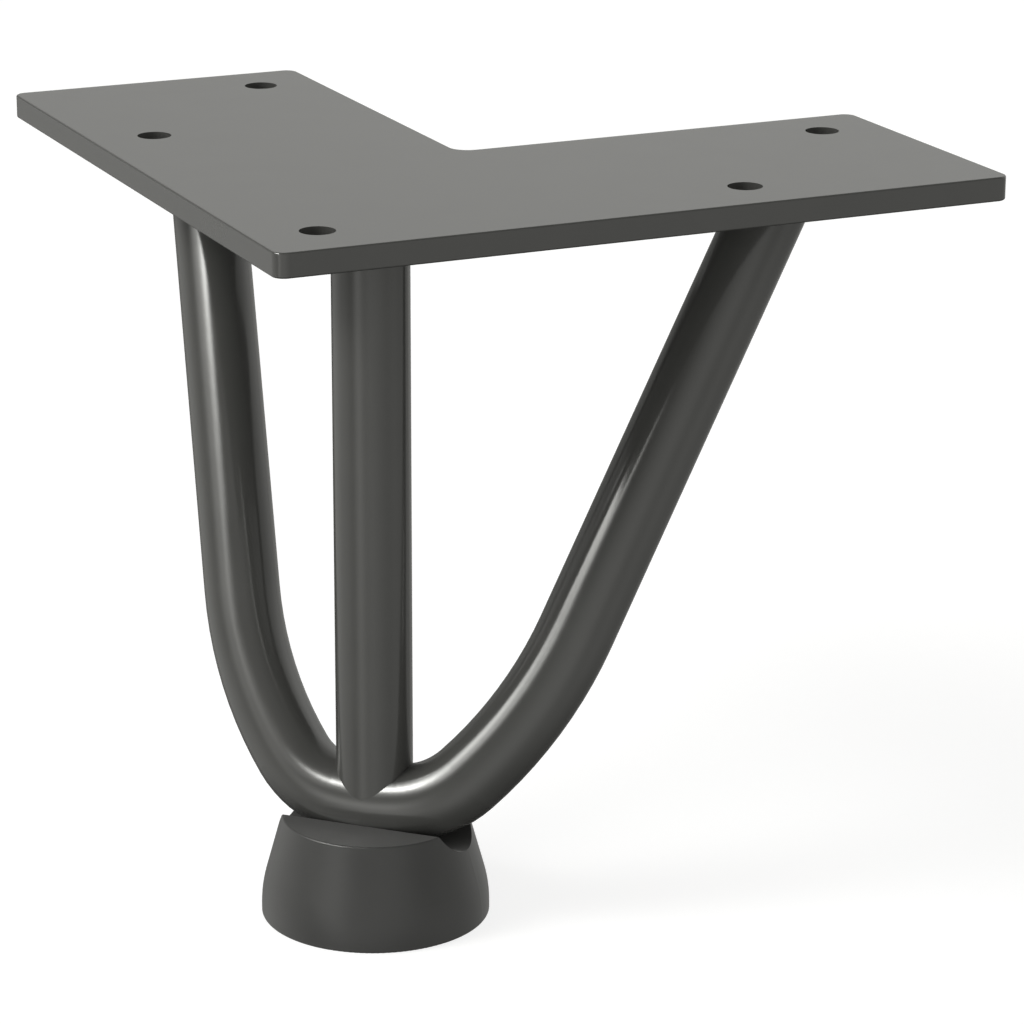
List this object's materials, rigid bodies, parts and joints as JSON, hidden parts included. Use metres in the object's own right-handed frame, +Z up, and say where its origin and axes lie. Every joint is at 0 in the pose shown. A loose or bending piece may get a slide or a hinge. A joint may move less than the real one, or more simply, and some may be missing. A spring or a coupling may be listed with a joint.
{
  "type": "hairpin table leg",
  "caption": "Short hairpin table leg: an L-shaped screw plate carries a leaning bent rod and an upright rod that end on a round grooved foot.",
  "frame": {"origin": "on the plate's flat top face, straight above the centre of the foot", "axes": "+Z up out of the mounting face, +Y from the plate's outer corner into the angle between its arms, +X to the right; the YZ plane is the plane of symmetry"},
  "size_m": [0.168, 0.1185, 0.1135],
  "materials": {
    "coated_steel": "semi-gloss dark grey powder coat",
    "foot_plastic": "matt dark grey moulded plastic"
  },
  "bodies": {
    "root": {"mounting_plate": "coated_steel", "hairpin_rod": "coated_steel", "centre_rod": "coated_steel", "weld_left": "coated_steel", "weld_right": "coated_steel", "weld_centre": "coated_steel", "foot": "foot_plastic"}
  },
  "joints": []
}
